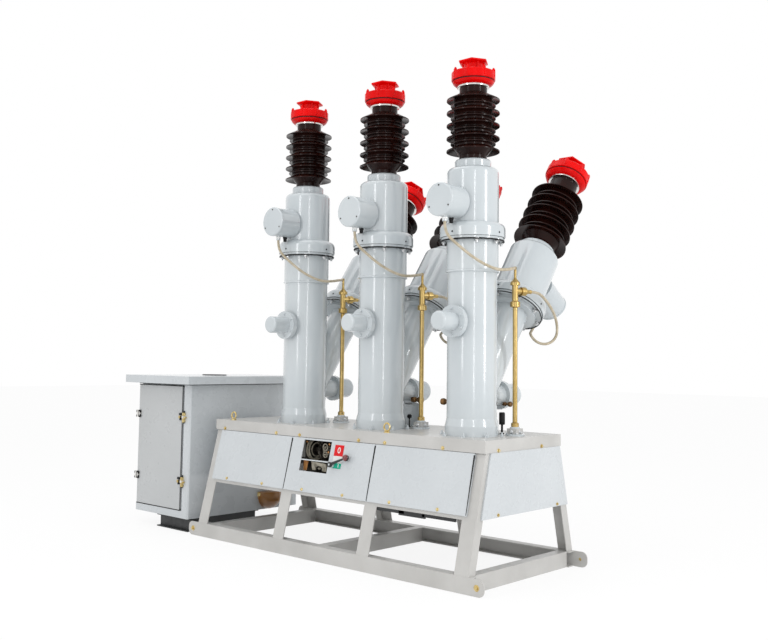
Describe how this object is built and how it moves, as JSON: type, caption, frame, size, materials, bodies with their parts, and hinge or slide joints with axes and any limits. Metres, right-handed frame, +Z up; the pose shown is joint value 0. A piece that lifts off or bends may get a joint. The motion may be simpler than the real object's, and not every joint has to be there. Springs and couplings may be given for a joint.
{
  "type": "gas insulated breaker",
  "caption": "Outdoor three-phase gas insulated breaker: tanks with upright and slanted bushings on a splayed steel frame, with a control cabinet.",
  "frame": {"origin": "on the ground under the middle of the frame, under the middle cross rail", "axes": "+X along the row of poles, away from the cabinet; -Y to the operating side; +Z up"},
  "size_m": [3.04, 1.531, 2.788],
  "materials": {
    "frame_paint": "satin",
    "panel_paint": "satin",
    "tank_paint": "gloss",
    "porcelain": "gloss",
    "terminal_red": "gloss",
    "brass": "satin",
    "hose": "matte",
    "enamel": "gloss",
    "black_paint": "satin",
    "zinc_steel": "satin",
    "bright_metal": "gloss",
    "brown_paint": "satin"
  },
  "bodies": {
    "root": {"base_rails": "frame_paint", "cross_rails": "frame_paint", "front_legs": "frame_paint", "rear_legs": "frame_paint", "deck_plate": "frame_paint", "deck_side_bands": "frame_paint", "deck_end_bands": "frame_paint", "front_side_panels": "panel_paint", "front_middle_panel": "panel_paint", "rear_panels": "panel_paint", "end_panels": "panel_paint", "panel_ledges": "frame_paint", "position_plates": "enamel", "mechanism": "zinc_steel", "link_shaft": "zinc_steel", "shaft_hangers": "frame_paint", "pull_rods": "zinc_steel", "eye_bolts": "zinc_steel", "conduit_bases": "panel_paint", "cabinet_walls": "panel_paint", "cabinet_floor": "panel_paint", "cabinet_front_frame": "panel_paint", "cabinet_lid": "panel_paint", "fixed_hinge_leaves": "bright_metal", "door_latches": "bright_metal", "cabinet_cross_bearers": "black_paint", "cabinet_side_bearers": "black_paint", "drive_link_cover": "brown_paint", "tank_left": "tank_paint", "housings_left": "tank_paint", "bushings_left": "porcelain", "terminals_left": "terminal_red", "terminal_boxes_left": "tank_paint", "service_covers_left": "tank_paint", "conduit_left": "brass", "hoses_left": "hose", "tank_middle": "tank_paint", "housings_middle": "tank_paint", "bushings_middle": "porcelain", "terminals_middle": "terminal_red", "terminal_boxes_middle": "tank_paint", "service_covers_middle": "tank_paint", "conduit_middle": "brass", "hoses_middle": "hose", "tank_right": "tank_paint", "housings_right": "tank_paint", "bushings_right": "porcelain", "terminals_right": "terminal_red", "terminal_boxes_right": "tank_paint", "service_covers_right": "tank_paint", "conduit_right": "brass", "hoses_right": "hose"},
    "cabinet_door": {"cabinet_door": "panel_paint", "door_hinge_leaves": "bright_metal"},
    "trip_lever": {"trip_lever": "black_paint"}
  },
  "joints": [
    {"name": "cabinet_door_hinge", "type": "hinge", "parent": "root", "child": "cabinet_door", "pos_m": [-1.81, -0.466, 0.53], "axis": [0, 0, -1], "range_deg": [0, 110]},
    {"name": "trip_lever_pivot", "type": "hinge", "parent": "root", "child": "trip_lever", "pos_m": [0.037, -0.40793, 0.53203], "axis": [0, -0.9723, 0.2338], "range_deg": [-45, 0]}
  ]
}
